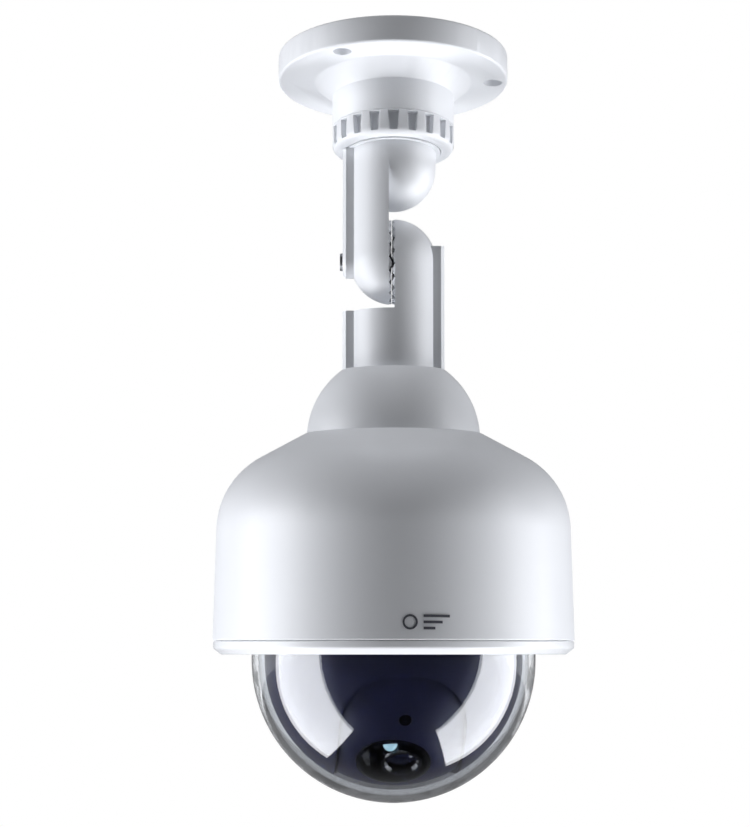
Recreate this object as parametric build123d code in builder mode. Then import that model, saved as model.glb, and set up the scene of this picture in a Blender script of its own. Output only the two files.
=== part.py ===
from build123d import *
import os
from math import acos, degrees, sqrt

# A ceiling dome camera on a pan and tilt bracket, in millimetres.
# The origin is the centre of the mounting face. +Z points up, out of that face, and the
# camera hangs below it. -Y is the front and X is the hinge's axis.
# Two more frames carry the rest: HEAD stands on the hinge's axis and leans with the lower
# arm, and LENS stands at the dome's centre with its Z along the lens.

# ---------------------------------------------------------------- driving dimensions

PIVOT_Z = -79.6            # hinge axis below the mounting face
REST_TILT = 9.0            # lean of the lower arm: half a tooth of the hinge's serration
FRONT_TURN = 5.0           # the lens faces a little to the right of the front

DISC_R = 42.5              # mounting disc
DISC_T = 10.1
NECK_R = 22.4              # neck and ring nut
BOSS_R = 29.0              # wide end of the cone between the disc and the neck
BOSS_Z = -16.2
SCREW_PCD_R = 37.0         # three mounting screws, 4 mm
SCREW_HOLE_R = 2.25
SCREW_SINK_R = 3.4         # each screw's head sits in a round recess
SCREW_SINK_T = 3.0

NECK_END_Z = -28.0         # the ring nut starts here
SPIGOT_R = 17.9            # threaded spigot, drawn without its thread
SPIGOT_END_Z = -34.3
NECK_CORE_Z = -24.0        # floors of the cores sunk into the neck and the spigot
SPIGOT_CORE_Z = -31.3
CORE_POST_R = 7.0
WASHER_T = 0.6

SEAM = 0.15                # gap at a seam between moving pieces
NUT_END_Z = -37.3
NUT_EDGE_R = 2.6           # rounding of the ring nut's lower edge
NUT_BORE_R = 17.97
NUT_LIP_R = 17.7
NUT_RECESS_R = 19.2
NUT_RECESS_TOP_Z = -34.75
NUT_LIP_TOP_Z = -36.15
SLOTS = 20                 # castellations round the ring nut
SLOT_TOP_Z = -28.7
SLOT_END_Z = -35.95
SLOT_TOP_W = 3.9
SLOT_END_W = 2.8
SLOT_FLOOR_R = 20.1

COLUMN_R = 15.6            # both arms are round columns with ball ends
FLANGE_R = 18.9            # flange held by the ring nut
FLANGE_STEP_Z = -36.0
FLANGE_LIP_R = 17.4
FLANGE_END_Z = -37.65
STUB_Z = -44.0             # the right half of the upper arm ends in a quarter ball here
RIB_X = 18.5               # outer face of the side ribs
RIB_ROOT_X = 12.0
RIB_HALF_W = 6.0
RIB_CHAMFER = 1.2
RIB_RISE = 5.2             # the lower arm's right rib ends this far above the hinge

FACE_X = -0.6              # middle of the serrated joint
FACE_GAP = 1.1             # from there to the root plane of either row of teeth
TEETH = 20
TOOTH_H = 1.0              # at the rim, less towards the axis
TOOTH_IN_R = 8.7
LAND_R = 8.5               # flat land inside the teeth, as high as they are
LAND_GAP = 0.15            # from the middle of the joint to either land
TOOTH_OUT_R = 15.3
TOOTH_ROOT_W = 4.6
TOOTH_CREST_W = 1.1
TOOTH_SINK = 0.2           # teeth start inside the face they stand on

SHOULDER_Z = -18.5         # from here down: measured from the hinge along the head's axis
CAP_TOP_Z = -39.8
CAP_R = 31.5
CAP_CENTRE_Z = -65.0
CAP_WALL = 2.6
CAP_PLATE_Z = -43.3
SPIGOT_IN_CAP_R = 9.9
SPIGOT_IN_CAP_Z = -43.2

BELL_TOP_Z = -63.2
BELL_FLAT_R = 32.4         # the cap stands on this flat
BELL_CORNER = (63.6, -80.1)
BELL_ROUND = 30.0
BELL_R = 65.3
BELL_END_Z = -137.9
BELL_WALL = 2.6
BELL_ACCESS_R = 9.0

RING_TOP_Z = -138.05
RING_END_Z = -142.8
RING_R = 65.1
RING_FOOT_R = 62.2
RING_CHAMFER_Z = -140.6
RING_LIP_R = 51.8
RING_LEDGE_Z = -140.6
RING_WALL_IN_R = 60.2
RING_WALL_R = 62.3
RING_WALL_TOP_Z = -134.4

DOME_Z = -144.7            # centre of the dome, the shroud and the drum
DOME_R = 51.2
DOME_WALL = 2.4
DOME_FLANGE_R = 58.5
DOME_FLANGE_TOP_Z = -138.6

CARRIER_TOP_Z = -133.9
CARRIER_END_Z = -137.2
CARRIER_R = 58.3
CARRIER_BORE_R = 48.0
POST_PCD_R = 54.0          # three posts inside the bell carry the carrier
POST_R = 3.8
POST_L = 51.0
POST_RIB_L = 40.0
POST_RIB_R = 63.3          # their ribs end inside the wall

TURRET_RING_R = 47.92      # runs in the carrier's bore
TURRET_RING_IN_R = 45.2
TURRET_FLANGE_R = 49.4
TURRET_TOP_Z = -131.4
TURRET_FLANGE_Z = -133.6
TURRET_END_Z = -137.4
EAR_X = 22.9
EAR_OUT_X = 25.5

SHROUD_R = 46.5
SHROUD_WALL = 1.2
SLOT_HALF_W = 21.9
SLOT_CORNER_R = 20.0
SLOT_HIGH = 33.8           # ends of the shroud's slot, measured across the lens axis
SLOT_LOW = -41.8

LENS_DOWN = 54.0           # the lens looks this far below the horizon
DRUM_R = 45.0
DRUM_WALL = 2.4
DRUM_HALF_W = 21.3
DRUM_CHEEK_X = 19.1
DRUM_BACK = -7.0
PIN_R = 2.5

BEZEL_X = -2.5             # the bezel's dish sits a little to one side of the lens
BEZEL_R = 12.9
BEZEL_IN_R = 11.7
BEZEL_BACK = 36.0
BEZEL_FLOOR = 37.2
LENS_X = 0.3
BARREL_R = 7.4
BARREL_IN_R = 5.9
BARREL_TOP = 43.3
GLASS_EDGE = 1.8
GLASS_MIDDLE = 3.9
RETAINER_TOP = 44.2
LED_X = -4.2
LED_Y = 8.9
LED_R = 2.5
LED_TOP = 44.4
LED_LEG_GAP = 1.27
BOARD_TOP = 33.2
BOARD_T = 1.6
BOARD_R = 11.0
WINDOW_R = 2.2
WINDOW_TURN = 26.7         # the small window stands this far above the lens

CELL_R = 7.1               # AA cell
CELL_L = 49.0
CELL_Y = 7.45
CELL_Z = -79.4
HOLDER_TOP_Z = -70.0
HOLDER_END_Z = -86.0
HOLDER_X = 30.0
HOLDER_Y = 16.0
HOLDER_WALL = 1.3

HALF_TURN = 180

# ---------------------------------------------------------------- frames and helpers

HEAD = Location((0, 0, PIVOT_Z), (REST_TILT, 0, 0))
FRONT = HEAD * Location((0, 0, 0), (0, 0, FRONT_TURN))
LENS = FRONT * Location((0, 0, DOME_Z), (90 + LENS_DOWN, 0, 0))
WORLD = Location((0, 0, 0))


def on(frame, plane=Plane.XY, up=0.0):
    """A plane given in a frame's own axes, moved along its normal."""
    return Plane(frame * plane.offset(up).location)


def across(x):
    """The plane square to the X axis at x, with Y and Z as its own directions."""
    return Plane.YZ.offset(x)


def spin_axis(frame):
    """A frame's Z axis."""
    return Axis(frame.position, Plane(frame).z_dir)


def hinge_axis(frame):
    """A frame's X axis."""
    return Axis(frame.position, Plane(frame).x_dir)


def corner(x, y):
    """The corner of the sketch in hand that is nearest to a point."""
    return vertices().sort_by_distance((x, y))[0]


def turned(frame, points):
    """Revolve a closed outline of (radius, height) points about a frame's Z axis."""
    with BuildSketch(on(frame, Plane.XZ)) as outline:
        with BuildLine():
            Polyline(*points, close=True)
        make_face()
    revolve(outline.sketch, axis=spin_axis(frame))


def column_half(frame, flat_x, side, top_z, end_z):
    """The part of a round column beyond a flat at flat_x, on one side of it."""
    with BuildSketch(on(frame, Plane.XY, end_z)) as segment:
        Circle(COLUMN_R)
        with Locations((flat_x - side * COLUMN_R, 0)):
            Rectangle(2 * COLUMN_R, 2 * COLUMN_R, mode=Mode.SUBTRACT)
    extrude(segment.sketch, amount=top_z - end_z)


def ball_end(frame, flat_x, side, arc):
    """Half of a ball beyond a flat at flat_x, turned about the frame's X axis."""
    reach = degrees(acos(side * flat_x / COLUMN_R))
    start = 0 if side > 0 else HALF_TURN
    with BuildSketch(on(frame)) as half_segment:
        with BuildLine():
            rim = CenterArc((0, 0), COLUMN_R, start, side * reach)
            Line(rim @ 1, (flat_x, 0))
            Line((flat_x, 0), rim @ 0)
        make_face()
    revolve(half_segment.sketch, axis=hinge_axis(frame), revolution_arc=arc)


def side_rib(frame, side, top_z, end_z):
    """A flat rib down one side of a column, with its outer corners cut off."""
    with BuildSketch(on(frame, Plane.XY, end_z)) as section:
        with BuildLine():
            Polyline(
                (side * RIB_ROOT_X, -RIB_HALF_W),
                (side * (RIB_X - RIB_CHAMFER), -RIB_HALF_W),
                (side * RIB_X, RIB_CHAMFER - RIB_HALF_W),
                (side * RIB_X, RIB_HALF_W - RIB_CHAMFER),
                (side * (RIB_X - RIB_CHAMFER), RIB_HALF_W),
                (side * RIB_ROOT_X, RIB_HALF_W),
                close=True,
            )
        make_face()
    extrude(section.sketch, amount=top_z - end_z)


def rib_end(frame, side):
    """The round end of a rib about a frame's X axis, with the rib's own chamfer."""
    start = side * RIB_ROOT_X
    face = side * (RIB_X - RIB_CHAMFER)
    with BuildSketch(on(frame, Plane(origin=(start, 0, 0), z_dir=(side, 0, 0)))) as disc:
        Circle(RIB_HALF_W)
    extrude(disc.sketch, amount=abs(face - start))
    with BuildSketch(on(frame, Plane(origin=(face, 0, 0), z_dir=(side, 0, 0)))) as rim:
        Circle(RIB_HALF_W)
    extrude(rim.sketch, amount=RIB_CHAMFER, taper=45)


def teeth(frame, root_x, side):
    """A ring of radial teeth on a flat at root_x, standing up towards side."""
    root = Plane(origin=(root_x, 0, 0), x_dir=(0, 0, 1), z_dir=(side, 0, 0))
    with Locations(on(frame, root)):
        with PolarLocations(0, TEETH):
            add(tooth.part)


def land(frame, root_x, side):
    """The flat land inside the teeth, standing up towards side."""
    with BuildSketch(on(frame, Plane(origin=(root_x, 0, 0), z_dir=(side, 0, 0)))) as disc:
        Circle(LAND_R)
    extrude(disc.sketch, amount=FACE_GAP - LAND_GAP)


def pan_screw(planes, head_r, head_h, shank_r, shank_l):
    """Round-headed screws: each stands on its plane, with its shank below the plane."""
    with BuildSketch(*planes) as head:
        Circle(head_r)
    extrude(head.sketch, amount=head_h, taper=12)
    with BuildSketch(*planes) as shank:
        Circle(shank_r)
    extrude(shank.sketch, amount=-shank_l)
    with BuildSketch(*[plane.offset(head_h) for plane in planes]) as recess:
        Rectangle(head_r, head_r / 4)
        Rectangle(head_r / 4, head_r)
    extrude(recess.sketch, amount=-0.6 * head_h, mode=Mode.SUBTRACT)


def ring_planes(frame, radius, first, count, height, down=False):
    """Planes set evenly round a frame's Z axis, facing up or down."""
    planes = []
    for step in range(count):
        turn = Location((0, 0, 0), (0, 0, first + 360 * step / count))
        spot = frame * turn * Location((radius, 0, height), (HALF_TURN if down else 0, 0, 0))
        planes.append(Plane(spot))
    return planes


os.makedirs("parts", exist_ok=True)

# ---------------------------------------------------------------- mounting base

# Disc, cone and neck in one moulding, cored out from the ceiling side between its ribs.
with BuildPart() as mount_base:
    with BuildSketch(Plane.XZ):
        with BuildLine():
            Polyline(
                (0, 0),
                (DISC_R, 0),
                (DISC_R, -DISC_T),
                (BOSS_R, -DISC_T),
                (NECK_R, BOSS_Z),
                (NECK_R, NECK_END_Z),
                (SPIGOT_R, NECK_END_Z),
                (SPIGOT_R, SPIGOT_END_Z),
                (0, SPIGOT_END_Z),
                close=True,
            )
        make_face()
        fillet([corner(DISC_R, 0), corner(DISC_R, -DISC_T)], 1.0)
        fillet(corner(BOSS_R, -DISC_T), 1.5)
    revolve(axis=Axis.Z)
    with BuildSketch(Plane.XY):
        Circle(DISC_R - 2.6)
        Circle(NECK_R, mode=Mode.SUBTRACT)
        with PolarLocations(SCREW_PCD_R, 3):
            Circle(6.2, mode=Mode.SUBTRACT)
        with PolarLocations(0, 6):
            Rectangle(DISC_R, 2.2, align=(Align.MIN, Align.CENTER), mode=Mode.SUBTRACT)
    extrude(amount=-(DISC_T - 2.5), mode=Mode.SUBTRACT)
    for core_r, core_z in ((NECK_R - 3, NECK_CORE_Z), (SPIGOT_R - 3, SPIGOT_CORE_Z)):
        with BuildSketch(Plane.XY):
            Circle(core_r)
            Circle(CORE_POST_R, mode=Mode.SUBTRACT)
            with PolarLocations(0, 3):
                Rectangle(DISC_R, 2.2, align=(Align.MIN, Align.CENTER), mode=Mode.SUBTRACT)
        extrude(amount=core_z, mode=Mode.SUBTRACT)
    with Locations(Plane(origin=(0, 0, -DISC_T), x_dir=(1, 0, 0), z_dir=(0, 0, -1))):
        with PolarLocations(SCREW_PCD_R, 3):
            CounterBoreHole(SCREW_HOLE_R, SCREW_SINK_R, SCREW_SINK_T, depth=DISC_T)

mount_base.part.label = "mount_base"
export_step(mount_base.part, "parts/mount_base.step")

# Fibre washer between the spigot and the arm's flange: it gives the pan its drag.
with BuildPart() as friction_washer:
    with BuildSketch(Plane.XY.offset(SPIGOT_END_Z)):
        Circle(SPIGOT_R - 0.3)
        Circle(12.5, mode=Mode.SUBTRACT)
    extrude(amount=-WASHER_T)

friction_washer.part.label = "friction_washer"
export_step(friction_washer.part, "parts/friction_washer.step")

# Castellated ring nut, which clamps the arm's flange against the washer.
with BuildPart() as ring_nut:
    with BuildSketch(Plane.XZ):
        with BuildLine():
            Polyline(
                (NUT_BORE_R, NECK_END_Z - SEAM),
                (NECK_R, NECK_END_Z - SEAM),
                (NECK_R, NUT_END_Z),
                (NUT_LIP_R, NUT_END_Z),
                (NUT_LIP_R, NUT_LIP_TOP_Z),
                (NUT_RECESS_R, NUT_LIP_TOP_Z),
                (NUT_RECESS_R, NUT_RECESS_TOP_Z),
                (NUT_BORE_R, NUT_RECESS_TOP_Z),
                close=True,
            )
        make_face()
        fillet(corner(NECK_R, NUT_END_Z), NUT_EDGE_R)
    revolve(axis=Axis.Z)
    slot_planes = []
    for step in range(SLOTS):
        turn = Location((0, 0, 0), (0, 0, 360 * step / SLOTS))
        slot_planes.append(on(turn, across(NECK_R + 1)))
    with BuildSketch(*slot_planes):
        with BuildLine():
            Polyline(
                (-SLOT_TOP_W / 2, SLOT_TOP_Z),
                (SLOT_TOP_W / 2, SLOT_TOP_Z),
                (SLOT_END_W / 2, SLOT_END_Z),
                (-SLOT_END_W / 2, SLOT_END_Z),
                close=True,
            )
        make_face()
    extrude(amount=SLOT_FLOOR_R - NECK_R - 1, mode=Mode.SUBTRACT)

ring_nut.part.label = "ring_nut"
export_step(ring_nut.part, "parts/ring_nut.step")

# ---------------------------------------------------------------- arms and hinge

# One tooth of the serration, lying along +X with its root at Z = 0. It is copied by teeth().
with BuildPart() as tooth:
    for radius in (TOOTH_IN_R, TOOTH_OUT_R):
        size = radius / TOOTH_OUT_R
        with BuildSketch(across(radius)):
            with BuildLine():
                Polyline(
                    (-TOOTH_ROOT_W / 2 * size, -TOOTH_SINK),
                    (-TOOTH_ROOT_W / 2 * size, 0),
                    (-TOOTH_CREST_W / 2 * size, TOOTH_H * size),
                    (TOOTH_CREST_W / 2 * size, TOOTH_H * size),
                    (TOOTH_ROOT_W / 2 * size, 0),
                    (TOOTH_ROOT_W / 2 * size, -TOOTH_SINK),
                    close=True,
                )
            make_face()
    loft()

UPPER = Location((0, 0, PIVOT_Z))
STUB = Location((0, 0, STUB_Z))
UPPER_FACE_X = FACE_X - FACE_GAP
LOWER_FACE_X = FACE_X + FACE_GAP

# Upper arm: a column whose left half goes on down to the hinge.
with BuildPart() as upper_arm:
    turned(
        WORLD,
        [
            (0, SPIGOT_END_Z - WASHER_T),
            (FLANGE_R, SPIGOT_END_Z - WASHER_T),
            (FLANGE_R, FLANGE_STEP_Z),
            (FLANGE_LIP_R, FLANGE_STEP_Z),
            (FLANGE_LIP_R, FLANGE_END_Z),
            (COLUMN_R, FLANGE_END_Z),
            (COLUMN_R, STUB_Z),
            (0, STUB_Z),
        ],
    )
    ball_end(STUB, UPPER_FACE_X, 1, -HALF_TURN)
    column_half(WORLD, UPPER_FACE_X, -1, STUB_Z, PIVOT_Z)
    ball_end(UPPER, UPPER_FACE_X, -1, -HALF_TURN)
    side_rib(WORLD, -1, FLANGE_END_Z, PIVOT_Z)
    rib_end(UPPER, -1)
    teeth(UPPER, UPPER_FACE_X, 1)
    land(UPPER, UPPER_FACE_X, 1)
    with Locations(Plane(origin=(-RIB_X, 0, PIVOT_Z), z_dir=(-1, 0, 0))):
        CounterBoreHole(2.08, 4.25, 3.0, depth=RIB_X + UPPER_FACE_X + 2)

upper_arm.part.label = "upper_arm"
export_step(upper_arm.part, "parts/upper_arm.step")

# Lower arm: its right half reaches up to the hinge, and its spigot goes into the cap.
with BuildPart() as lower_arm:
    turned(
        HEAD,
        [
            (0, SHOULDER_Z),
            (COLUMN_R, SHOULDER_Z),
            (COLUMN_R, CAP_TOP_Z),
            (SPIGOT_IN_CAP_R, CAP_TOP_Z),
            (SPIGOT_IN_CAP_R, SPIGOT_IN_CAP_Z),
            (0, SPIGOT_IN_CAP_Z),
        ],
    )
    column_half(HEAD, LOWER_FACE_X, 1, 0, SHOULDER_Z)
    ball_end(HEAD, LOWER_FACE_X, 1, HALF_TURN)
    side_rib(HEAD, 1, RIB_RISE, CAP_TOP_Z)
    side_rib(HEAD, -1, SHOULDER_Z, CAP_TOP_Z)
    teeth(HEAD, LOWER_FACE_X, -1)
    land(HEAD, LOWER_FACE_X, -1)
    with BuildSketch(on(HEAD, across(LOWER_FACE_X - 2))):
        Circle(2.08)
    extrude(amount=RIB_X, mode=Mode.SUBTRACT)
    with BuildSketch(on(HEAD, across(RIB_X + 1))):
        RegularPolygon(3.6, 6, major_radius=False)
    extrude(amount=-5.5, mode=Mode.SUBTRACT)
    with BuildSketch(on(HEAD, Plane.XY, SPIGOT_IN_CAP_Z)):
        Circle(2.55)
    extrude(amount=15, mode=Mode.SUBTRACT)

lower_arm.part.label = "lower_arm"
export_step(lower_arm.part, "parts/lower_arm.step")

BOLT_SEAT_X = -RIB_X + 3.0

# Flat washer in the bolt's counterbore.
with BuildPart() as flat_washer:
    with BuildSketch(on(UPPER, across(BOLT_SEAT_X))):
        Circle(4.1)
        Circle(2.2, mode=Mode.SUBTRACT)
    extrude(amount=-0.7)

flat_washer.part.label = "flat_washer"
export_step(flat_washer.part, "parts/flat_washer.step")

# Split spring washer under the bolt's head.
with BuildPart() as spring_washer:
    with BuildSketch(on(UPPER, across(BOLT_SEAT_X - 0.7))):
        Circle(3.7)
        Circle(2.2, mode=Mode.SUBTRACT)
        Rectangle(0.5, 4, align=(Align.CENTER, Align.MIN), mode=Mode.SUBTRACT)
    extrude(amount=-0.9)

spring_washer.part.label = "spring_washer"
export_step(spring_washer.part, "parts/spring_washer.step")

# Clamping bolt along the hinge's axis.
with BuildPart() as hinge_bolt:
    head_plane = Plane(origin=(BOLT_SEAT_X - 1.65, 0, PIVOT_Z), x_dir=(0, 1, 0), z_dir=(-1, 0, 0))
    pan_screw([head_plane], 3.6, 2.35, 2.0, 34.2)

hinge_bolt.part.label = "hinge_bolt"
export_step(hinge_bolt.part, "parts/hinge_bolt.step")

# Hexagon nut held in the lower arm's pocket.
with BuildPart() as hinge_nut:
    with BuildSketch(on(HEAD, across(RIB_X - 4.5))):
        RegularPolygon(3.5, 6, major_radius=False)
        Circle(2.06, mode=Mode.SUBTRACT)
    extrude(amount=3.2)

hinge_nut.part.label = "hinge_nut"
export_step(hinge_nut.part, "parts/hinge_nut.step")

# ---------------------------------------------------------------- cap and bell

CAP_IN_R = CAP_R - CAP_WALL


def ball_r(ball, z):
    """Radius of the cap's outer or inner ball at a height."""
    return sqrt(ball**2 - (z - CAP_CENTRE_Z) ** 2)


# Neck cap: a ball-shaped shell with a flat plate at its top and three screw posts.
with BuildPart() as neck_cap:
    with BuildSketch(on(HEAD, Plane.XZ)):
        with BuildLine():
            plate_out = (ball_r(CAP_R, CAP_TOP_Z), CAP_TOP_Z)
            foot_out = (ball_r(CAP_R, BELL_TOP_Z), BELL_TOP_Z)
            foot_in = (ball_r(CAP_IN_R, BELL_TOP_Z), BELL_TOP_Z)
            plate_in = (ball_r(CAP_IN_R, CAP_PLATE_Z), CAP_PLATE_Z)
            Line((SPIGOT_IN_CAP_R + 0.1, CAP_TOP_Z), plate_out)
            RadiusArc(plate_out, foot_out, CAP_R)
            Line(foot_out, foot_in)
            RadiusArc(foot_in, plate_in, -CAP_IN_R)
            Line(plate_in, (SPIGOT_IN_CAP_R + 0.1, CAP_PLATE_Z))
            Line((SPIGOT_IN_CAP_R + 0.1, CAP_PLATE_Z), (SPIGOT_IN_CAP_R + 0.1, CAP_TOP_Z))
        make_face()
    revolve(axis=spin_axis(HEAD))
    with BuildSketch(*ring_planes(HEAD, 22, 90, 3, BELL_TOP_Z)):
        Circle(4.2)
    extrude(amount=13)
    with BuildSketch(*ring_planes(HEAD, 22, 90, 3, BELL_TOP_Z)):
        Circle(1.65)
    extrude(amount=11, mode=Mode.SUBTRACT)

neck_cap.part.label = "neck_cap"
export_step(neck_cap.part, "parts/neck_cap.step")

# Large washer and screw that pull the lower arm's spigot into the cap.
with BuildPart() as arm_washer:
    with BuildSketch(on(HEAD, Plane.XY, CAP_PLATE_Z)):
        Circle(14)
        Circle(2.7, mode=Mode.SUBTRACT)
    extrude(amount=-1.2)

arm_washer.part.label = "arm_washer"
export_step(arm_washer.part, "parts/arm_washer.step")

with BuildPart() as arm_screw:
    pan_screw(ring_planes(HEAD, 0, 0, 1, CAP_PLATE_Z - 1.2, down=True), 4.8, 3.2, 2.5, 14)

arm_screw.part.label = "arm_screw"
export_step(arm_screw.part, "parts/arm_screw.step")

# Bell housing: a drafted wall under a coned and rounded shoulder, with its inner posts.
with BuildPart() as bell_housing:
    with BuildSketch(on(HEAD, Plane.XZ)):
        with BuildLine():
            Polyline(
                (BELL_ACCESS_R, BELL_TOP_Z),
                (BELL_FLAT_R, BELL_TOP_Z),
                BELL_CORNER,
                (BELL_R, BELL_END_Z),
                (BELL_R - BELL_WALL, BELL_END_Z),
                (BELL_CORNER[0] - BELL_WALL, BELL_CORNER[1] - 1.6),
                (BELL_FLAT_R - 0.8, BELL_TOP_Z - BELL_WALL),
                (BELL_ACCESS_R, BELL_TOP_Z - BELL_WALL),
                close=True,
            )
        make_face()
        fillet(corner(*BELL_CORNER), BELL_ROUND)
        fillet(corner(BELL_CORNER[0] - BELL_WALL, BELL_CORNER[1] - 1.6), BELL_ROUND - BELL_WALL)
        fillet(corner(BELL_R, BELL_END_Z), 0.5)
    revolve(axis=spin_axis(HEAD))
    with BuildSketch(*ring_planes(HEAD, POST_PCD_R, 90, 3, CARRIER_TOP_Z)):
        Circle(POST_R)
    extrude(amount=POST_L)
    with BuildSketch(*ring_planes(HEAD, POST_PCD_R, 90, 3, CARRIER_TOP_Z)):
        Rectangle(POST_RIB_R - POST_PCD_R, 2.0, align=(Align.MIN, Align.CENTER))
    extrude(amount=POST_RIB_L)
    with BuildSketch(*ring_planes(HEAD, POST_PCD_R, 90, 3, CARRIER_TOP_Z)):
        Circle(1.65)
    extrude(amount=12, mode=Mode.SUBTRACT)
    with BuildSketch(*ring_planes(HEAD, 15, 0, 2, HOLDER_TOP_Z)):
        Circle(3.4)
    extrude(amount=BELL_TOP_Z - BELL_WALL - HOLDER_TOP_Z)
    with BuildSketch(*ring_planes(HEAD, 15, 0, 2, HOLDER_TOP_Z)):
        Circle(1.3)
    extrude(amount=5, mode=Mode.SUBTRACT)
    with BuildSketch(*ring_planes(HEAD, 22, 90, 3, BELL_TOP_Z + 1)):
        Circle(1.8)
    extrude(amount=-5, mode=Mode.SUBTRACT)

bell_housing.part.label = "bell_housing"
export_step(bell_housing.part, "parts/bell_housing.step")

# Three screws from inside the bell up into the cap.
with BuildPart() as cap_screws:
    pan_screw(ring_planes(HEAD, 22, 90, 3, BELL_TOP_Z - BELL_WALL, down=True), 3.3, 2.2, 1.6, 12)

cap_screws.part.label = "cap_screws"
export_step(cap_screws.part, "parts/cap_screws.step")

# ---------------------------------------------------------------- dome and its ring

LUG_W = 24.0


def lugs(planes, inner_r, outer_r, amount):
    """Short curved lugs between two radii, LUG_W degrees long."""
    with BuildSketch(*planes) as sector:
        with BuildLine():
            outer = CenterArc((0, 0), outer_r, -LUG_W / 2, LUG_W)
            inner = CenterArc((0, 0), inner_r, -LUG_W / 2, LUG_W)
            Line(outer @ 0, inner @ 0)
            Line(outer @ 1, inner @ 1)
        make_face()
    extrude(sector.sketch, amount=amount)


# Trim ring: its lip carries the dome, and its three inner lugs hook over the carrier's.
with BuildPart() as trim_ring:
    with BuildSketch(on(HEAD, Plane.XZ)):
        with BuildLine():
            Polyline(
                (RING_LIP_R, RING_END_Z),
                (RING_FOOT_R, RING_END_Z),
                (RING_R, RING_CHAMFER_Z),
                (RING_R, RING_TOP_Z),
                (RING_WALL_R, RING_TOP_Z),
                (RING_WALL_R, RING_WALL_TOP_Z),
                (RING_WALL_IN_R, RING_WALL_TOP_Z),
                (RING_WALL_IN_R, RING_LEDGE_Z),
                (RING_LIP_R, RING_LEDGE_Z),
                close=True,
            )
        make_face()
        fillet([corner(RING_R, RING_CHAMFER_Z), corner(RING_FOOT_R, RING_END_Z)], 1.2)
        fillet(corner(RING_R, RING_TOP_Z), 0.5)
        fillet(corner(RING_LIP_R, RING_END_Z), 0.8)
    revolve(axis=spin_axis(HEAD))
    lugs(ring_planes(HEAD, 0, 30, 3, RING_WALL_TOP_Z), 58.7, RING_WALL_IN_R + 0.2, -1.2)

trim_ring.part.label = "trim_ring"
export_step(trim_ring.part, "parts/trim_ring.step")

# Clear dome: half a ball on a short cylinder with a flange.
with BuildPart() as dome_cover:
    with BuildSketch(on(HEAD, Plane.XZ)):
        with BuildLine():
            inner_r = DOME_R - DOME_WALL
            RadiusArc((DOME_R, DOME_Z), (0, DOME_Z - DOME_R), DOME_R)
            Line((0, DOME_Z - DOME_R), (0, DOME_Z - inner_r))
            RadiusArc((0, DOME_Z - inner_r), (inner_r, DOME_Z), -inner_r)
            Polyline(
                (inner_r, DOME_Z),
                (inner_r, DOME_FLANGE_TOP_Z),
                (DOME_FLANGE_R, DOME_FLANGE_TOP_Z),
                (DOME_FLANGE_R, RING_LEDGE_Z),
                (DOME_R, RING_LEDGE_Z),
                (DOME_R, DOME_Z),
            )
        make_face()
    revolve(axis=spin_axis(HEAD))

dome_cover.part.label = "dome_cover"
export_step(dome_cover.part, "parts/dome_cover.step")

# Soft gasket on the dome's flange.
with BuildPart() as dome_gasket:
    with BuildSketch(on(HEAD, Plane.XY, DOME_FLANGE_TOP_Z)):
        Circle(DOME_FLANGE_R - 0.3)
        Circle(DOME_FLANGE_R - 3, mode=Mode.SUBTRACT)
    extrude(amount=1.1)

dome_gasket.part.label = "dome_gasket"
export_step(dome_gasket.part, "parts/dome_gasket.step")

# ---------------------------------------------------------------- carrier and turret

# Carrier ring on the bell's posts: the turret turns in its bore and the trim ring hooks on it.
with BuildPart() as turret_carrier:
    with BuildSketch(on(HEAD, Plane.XY, CARRIER_END_Z)):
        Circle(CARRIER_R)
        Circle(CARRIER_BORE_R, mode=Mode.SUBTRACT)
    extrude(amount=CARRIER_TOP_Z - CARRIER_END_Z)
    lugs(ring_planes(HEAD, 0, 30, 3, CARRIER_END_Z), CARRIER_R - 0.5, 59.9, 1.2)
    with Locations(*ring_planes(HEAD, POST_PCD_R, 90, 3, CARRIER_END_Z, down=True)):
        CounterSinkHole(1.8, 3.2, depth=CARRIER_TOP_Z - CARRIER_END_Z)

turret_carrier.part.label = "turret_carrier"
export_step(turret_carrier.part, "parts/turret_carrier.step")

# Countersunk screws that hold the carrier to the posts.
with BuildPart() as carrier_screws:
    carrier_screw_planes = ring_planes(HEAD, POST_PCD_R, 90, 3, CARRIER_END_Z + 0.1, down=True)
    with BuildSketch(*carrier_screw_planes):
        Circle(3.0)
    extrude(amount=-1.5, taper=45)
    with BuildSketch(*carrier_screw_planes):
        Circle(1.6)
    extrude(amount=-13)
    with BuildSketch(*carrier_screw_planes):
        Rectangle(3.2, 0.8)
        Rectangle(0.8, 3.2)
    extrude(amount=-1.0, mode=Mode.SUBTRACT)

carrier_screws.part.label = "carrier_screws"
export_step(carrier_screws.part, "parts/carrier_screws.step")

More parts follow.
